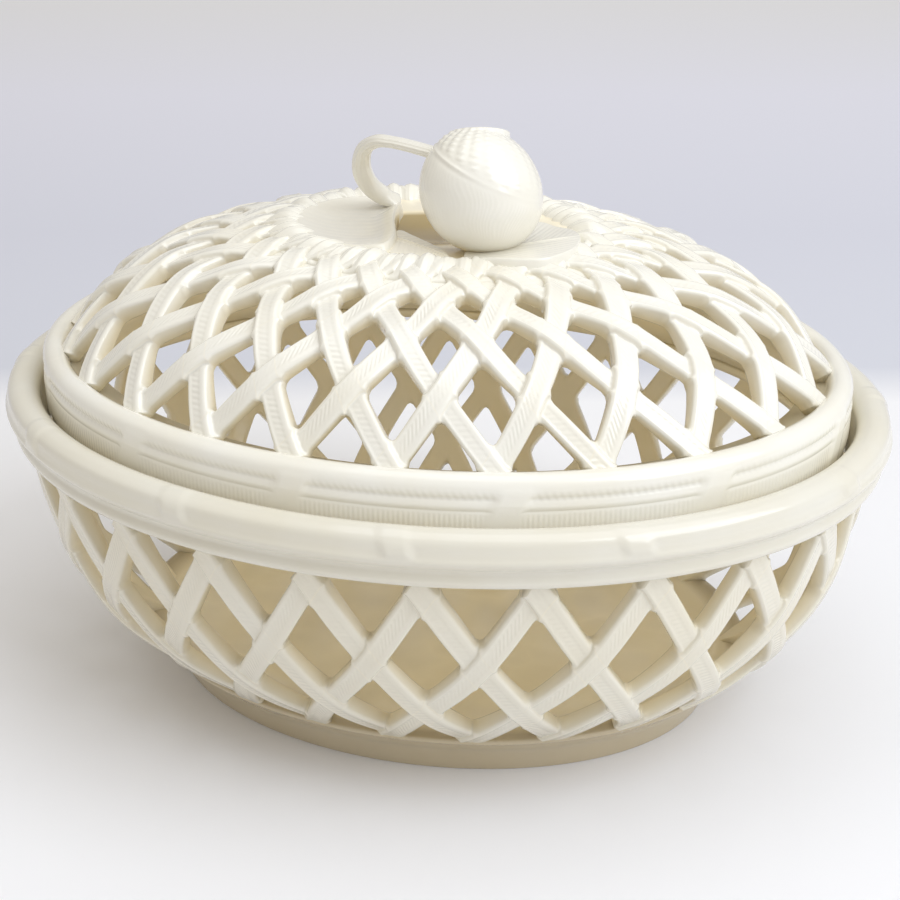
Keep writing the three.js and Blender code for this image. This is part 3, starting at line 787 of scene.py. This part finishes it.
def make_stem():
    """A ribbed strap of clay that bends back on itself and flares where it is pressed on the leaf."""
    steps, sides = 200, 64  # along the stem, and round it
    places = len(STEM_PATH) - 1
    u = np.linspace(0, places, steps)
    centre = catmull(np.array(STEM_PATH), u)
    ahead = np.gradient(centre, axis=0)
    ahead /= np.linalg.norm(ahead, axis=1, keepdims=True)
    sideways = np.array([0, 1.0, 0])
    wide = sideways - (ahead @ sideways)[:, None] * ahead
    wide /= np.linalg.norm(wide, axis=1, keepdims=True)
    thick = np.cross(ahead, wide)
    angle = np.arange(sides) / sides * 2 * math.pi
    half_wide = np.interp(u, [0, 4, 7, 9, 10], [2.5, 2.6, 2.8, 3.4, 4.2])[:, None]
    half_thick = np.interp(u, [0, 3, 4.5, 6, 7, 9, 10], [1.65, 1.5, 1.9, 2.6, 3, 2.7, 1.5])[:, None]
    lip = 0.25 * smoothstep(9.5, 9.9, u)[:, None]
    ribs = 0.11 * np.cos(11 * angle)[None, :] * (1 - smoothstep(5, 8, u))[:, None]
    along_wide = (half_wide + lip + ribs) * np.cos(angle)
    along_thick = (half_thick + lip + ribs) * np.sin(angle)
    points = (centre[:, None] + along_wide[..., None] * wide[:, None]
              + along_thick[..., None] * thick[:, None])
    end = points[-1:] * 0.75 + points[-1].mean(0) * 0.25 + 0.45 * ahead[-1]
    points = np.concatenate([points, end])
    numbers = np.arange((steps + 1) * sides).reshape(steps + 1, sides)
    wrapped = np.concatenate([numbers, numbers[:, :1]], 1)
    faces = quads(wrapped)[:, ::-1].tolist() + [numbers[0][::-1].tolist(), numbers[-1].tolist()]
    to_mesh("ribbed_stem", points.reshape(-1, 3), faces, IVORY_COVER, "cover", ["stem"])


# The leaves

LEAF_SPREAD = np.array([0, 0.08, 0.16, 0.24, 0.32, 0.4, 0.48, 0.56, 0.64, 0.72, 0.79, 0.85, 0.9, 0.94,
                        0.97, 0.99, 1])  # places from a leaf's centre to its edge
EDGE_POINTS, RING_STEPS = 24, 4  # mesh points from one outline point to the next, and rings likewise
LEAF_THICK = 3


def leaf(name, outline, centre, height, replaced, edge_start=0.95, shade=None):
    """A leaf that lies inside a smooth line in plan, with its top at height(x, y, s).

    s runs from 0 in the centre to 1 at the edge, which rounds over from edge_start outwards, and
    shade(x, y, s) is to_mesh's shade.
    """
    loop = np.array([*outline, outline[0]], dtype=float)
    twice_area = (loop[:-1, 0] * loop[1:, 1] - loop[:-1, 1] * loop[1:, 0]).sum()
    if twice_area < 0:
        loop = loop[::-1]  # so that every leaf's line runs anticlockwise
    loop = np.concatenate([loop[-3:-1], loop, loop[1:3]])
    edge = catmull(loop, 2 + np.arange(len(outline) * EDGE_POINTS) / EDGE_POINTS)
    fine = np.arange(RING_STEPS) / RING_STEPS
    spread = np.concatenate([*(a + (b - a) * fine for a, b in zip(LEAF_SPREAD, LEAF_SPREAD[1:])), [1]])
    s = spread[None, 1:]
    x = centre[0] + (edge[:, :1] - centre[0]) * s
    y = centre[1] + (edge[:, 1:] - centre[1]) * s
    low = DISH_FLOOR - LEAF_THICK
    over_edge = np.clip(s - edge_start, 0, 1) / (1 - edge_start)
    fall = np.sqrt(np.clip(1 - over_edge ** 2, 0, 1))
    top = height(x, y, s)
    z = low + (top - low) * fall
    points = np.stack([x, y, z], -1)
    n, m = x.shape
    centre_top = float(height(np.array(centre[0]), np.array(centre[1]), np.array(0.0)))
    all_points = np.concatenate([points.reshape(-1, 3), [[*centre, centre_top], [*centre, low]]])
    numbers = np.arange(n * m).reshape(n, m)
    numbers = np.concatenate([numbers, numbers[:1]])
    faces = quads(numbers)[:, ::-1].tolist()
    innermost, outermost = numbers[:, 0].tolist(), numbers[:, -1].tolist()
    faces += [[n * m, a, b] for a, b in zip(innermost, innermost[1:])]
    faces += [[n * m + 1, b, a] for a, b in zip(outermost, outermost[1:])]
    depth = np.concatenate([shade(x, y, s).ravel(), [0, 0]]) if shade else None
    to_mesh(name, all_points, faces, IVORY_COVER, "cover", replaced, depth)


def veins(x, y, root, tip, spacing, depth):
    """A midrib from root to tip and side veins that leave it slanting towards the tip."""
    root, tip = np.array(root, dtype=float), np.array(tip, dtype=float)
    along = (tip - root) / np.linalg.norm(tip - root)
    v = (x - root[0]) * along[0] + (y - root[1]) * along[1]
    w = (y - root[1]) * along[0] - (x - root[0]) * along[1]
    side_veins = np.cos(2 * math.pi * (v - 0.9 * np.abs(w)) / spacing) * smoothstep(0.3, 1.6, np.abs(w))
    rib = 0.15 * np.exp(-(((np.abs(w) - 0.75) / 0.4) ** 2)) - 0.2 * np.exp(-((w / 0.4) ** 2))
    return depth * side_veins + rib * smoothstep(-1, 2, v)


def make_pool_leaf():
    """The broad hollowed leaf under the stem, with a thick lip."""
    def hollowed(x, y, s):
        lip = smoothstep(-26, -13, x + 0.26 * y) * smoothstep(0.3, 0.85, s) * (1 - smoothstep(10, 16, y))
        wash = 0.02 * np.cos(2 * math.pi * (y + 0.8 * np.sin(x / 6)) / 3.4) + 0.3 * np.sin(x / 4.3 + y / 6)
        return DISH_FLOOR + 0.9 + 1.9 * s**3 + 1.5 * lip + wash * (1 - s**2)

    def shade_and_pool(x, y, s):
        # painted shade: a little honey over the leaf, and a brown painted shadow on the lip's wall by the
        # fruit
        lip = smoothstep(0.965, 0.995, s) * smoothstep(-19, -13, x + 0.26 * y) * (1 - smoothstep(3, 7, y))
        return 0.15 + 2.2 * lip

    outline = [(-42.5, 2), (-41, -9), (-35.5, -19.5), (-26, -27), (-15, -30.5), (-5.5, -31), (-5.2, -21),
               (-8, -12.5), (-10.4, -6), (-12.4, 1), (-13.7, 7), (-14.4, 12.5), (-18.5, 19), (-30, 19.5),
               (-39, 12)]
    leaf("pool_leaf", outline, (-24, -3), hollowed, ["leaf_left"], 0.9, shade_and_pool)


def make_pointed_lobe():
    """The left leaf's pointed lobe, which runs in front of the fruit."""
    def arched(x, y, s):
        relief = veins(x, y, (-10, -16), (12, -29), 2.2, 0.04)
        return DISH_FLOOR + 2.1 - 0.5 * s**2 + relief * (1 - s**4)

    def warm(x, y, s):
        # painted shade: honey over the lobe, which lies in the fruit's shadow
        return 0.35 + 0 * x

    outline = [(-9, -9), (-4, -12.2), (1, -16.2), (6, -20.3), (10, -24.5), (12, -29), (7, -30.8), (0, -30),
               (-8, -28), (-10, -18)]
    leaf("pointed_lobe", outline, (-2, -21.5), arched, (), shade=warm)


def make_veined_leaf():
    """The long leaf beside the fruit, which rises towards the border."""
    def rising(x, y, s):
        outer = smoothstep(26, 46, x - 0.6 * y)
        relief = veins(x, y, (22, -20), (42, -5.5), 2.1, 0.045)
        return DISH_FLOOR + 1.4 + 1.7 * outer + relief * (1 - s**4)

    outline = [(27.2, 11.4), (33.8, 7.6), (39.3, 3.2), (43.5, -5), (44.2, -15), (41.3, -23), (37, -28),
               (27.5, -30.5), (17, -29.5), (14, -20), (17, -6), (21, 5)]
    leaf("veined_leaf", outline, (31, -11), rising, ["leaf_right"])


make_bowl_weave()
make_base()
make_rim()
make_seat()
make_cover_weave()
make_band()
make_crown()
make_border()
make_nut()
make_stem()
make_pool_leaf()
make_pointed_lobe()
make_veined_leaf()


# The room, the lights and the camera

CAMERA_TURN = 16.57  # the photograph looks along +Y turned by this many degrees
CAMERA_PLACE = Vector((0.1359, -0.4444, 0.2869))
CAMERA_TARGET = Vector((0.00336, 0.0010, 0.07187))
FOCAL_PIXELS, FRAME_PIXELS = 1670.8, 900
FLOOR_HALF = 3.5
# The paper's colour at distances behind the bowl, in metres along the camera's way
PAPER = [(0.205, (0.88, 0.885, 0.92)), (0.245, (0.65, 0.67, 0.75)), (0.45, (0.68, 0.695, 0.79)),
         (0.8, (0.83, 0.84, 0.95)), (1.2, (0.94, 0.95, 1))]
ROOM_COLOUR, ROOM_STRENGTH = (1, 0.95, 0.865), 0.54
SEEN_ROOM = (0.48, 0.48, 0.5)


def make_stage():
    """A wide floor of studio paper, white in front and pale blue-grey behind the bowl."""
    half = FLOOR_HALF
    mesh = bpy.data.meshes.new("studio_floor")
    corners = [(-half, -half, 0), (half, -half, 0), (half, half, 0), (-half, half, 0)]
    mesh.from_pydata(corners, [], [(0, 1, 2, 3)])
    floor = bpy.data.objects.new("studio_floor", mesh)
    floor.rotation_euler[2] = math.radians(CAMERA_TURN)
    scene.collection.objects.link(floor)
    material = bpy.data.materials.new("studio_paper")
    material.use_nodes = True
    nodes, links = material.node_tree.nodes, material.node_tree.links
    shader = nodes["Principled BSDF"]
    shader.inputs["Roughness"].default_value = 0.9
    place = nodes.new("ShaderNodeTexCoord")
    split = nodes.new("ShaderNodeSeparateXYZ")
    behind = nodes.new("ShaderNodeMapRange")
    behind.inputs["From Max"].default_value = FLOOR_HALF
    ramp = nodes.new("ShaderNodeValToRGB")
    for _ in PAPER[2:]:
        ramp.color_ramp.elements.new(1)
    for element, (distance, colour) in zip(ramp.color_ramp.elements, PAPER):
        element.position = distance / FLOOR_HALF
        element.color = (*colour, 1)
    links.new(place.outputs["Object"], split.inputs[0])
    links.new(split.outputs["Y"], behind.inputs["Value"])
    links.new(behind.outputs["Result"], ramp.inputs[0])
    links.new(ramp.outputs[0], shader.inputs["Base Color"])
    mesh.materials.append(material)


def make_world():
    """Even warm light from all round; the camera and reflections see a pale blue-grey instead."""
    world = bpy.data.worlds.new("soft_room")
    world.use_nodes = True
    nodes, links = world.node_tree.nodes, world.node_tree.links
    room = nodes["Background"]
    room.inputs["Color"].default_value = (*ROOM_COLOUR, 1)
    room.inputs["Strength"].default_value = ROOM_STRENGTH
    seen = nodes.new("ShaderNodeBackground")
    seen.inputs["Color"].default_value = (*SEEN_ROOM, 1)
    path = nodes.new("ShaderNodeLightPath")
    ray = path.outputs["Is Camera Ray"]
    for other in ("Is Glossy Ray", "Is Transmission Ray"):
        either = nodes.new("ShaderNodeMath")
        either.operation = "MAXIMUM"
        links.new(ray, either.inputs[0])
        links.new(path.outputs[other], either.inputs[1])
        ray = either.outputs["Value"]
    mix = nodes.new("ShaderNodeMixShader")
    links.new(ray, mix.inputs["Fac"])
    links.new(room.outputs["Background"], mix.inputs[1])
    links.new(seen.outputs["Background"], mix.inputs[2])
    links.new(mix.outputs["Shader"], nodes["World Output"].inputs["Surface"])
    scene.world = world


def aim(thing, place, target):
    """Puts a camera or a lamp in its place and turns it to its target."""
    thing.location = place
    thing.rotation_euler = (Vector(target) - Vector(place)).to_track_quat("-Z", "Y").to_euler()
    scene.collection.objects.link(thing)


def make_camera():
    """The photograph's camera, fitted to the rim, the foot and the rows of the weave."""
    data = bpy.data.cameras.new("photo_camera")
    data.sensor_fit = "HORIZONTAL"
    data.angle = 2 * math.atan(FRAME_PIXELS / 2 / FOCAL_PIXELS)
    data.clip_start = 0.01
    scene.camera = bpy.data.objects.new("photo_camera", data)
    aim(scene.camera, CAMERA_PLACE, CAMERA_TARGET)


def area_light(name, place, target_height, size, power, colour):
    """A square lamp that points at a height on the bowl's axis."""
    data = bpy.data.lights.new(name, "AREA")
    data.shape = "SQUARE"
    data.size = size
    data.energy = power
    data.color = colour
    aim(bpy.data.objects.new(name, data), place, (0, 0, target_height))


make_stage()
make_camera()
make_world()
scene.view_settings.view_transform = "Standard"
area_light("key_right", (1.3, -0.42, 1.2), 0.08, size=1.3, power=18.2, colour=(0.87, 0.92, 1))
area_light("top_soft", (0.15, 0, 1.25), 0.1, size=1.1, power=4.7, colour=(0.93, 0.96, 1))
area_light("fill_left", (-0.85, -0.3, 1.15), 0.1, size=1.2, power=1.4, colour=(1, 0.95, 0.87))
